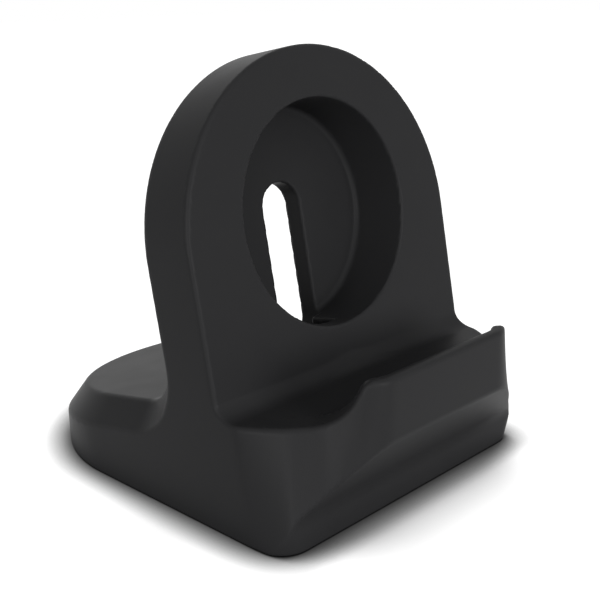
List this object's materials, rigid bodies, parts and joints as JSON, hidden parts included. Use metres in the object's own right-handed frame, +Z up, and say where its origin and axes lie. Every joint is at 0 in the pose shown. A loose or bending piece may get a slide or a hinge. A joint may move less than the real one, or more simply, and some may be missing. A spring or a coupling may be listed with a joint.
{
  "type": "smartwatch charging dock",
  "caption": "One-piece silicone desk dock: an arched, leaning upright with a round seat and cable slot for a charging puck, and a lipped shelf in front that holds the watch.",
  "frame": {"origin": "on the surface that the dock stands on, under the middle of its overall box", "axes": "+Z up; -Y towards the lip and the watch, +Y towards the rounded rear; +X across, normal to the plane of symmetry"},
  "size_m": [0.0618, 0.0836, 0.0728],
  "materials": {
    "silicone": "matte moulded silicone"
  },
  "bodies": {
    "root": {"dock_body": "silicone"}
  },
  "joints": []
}
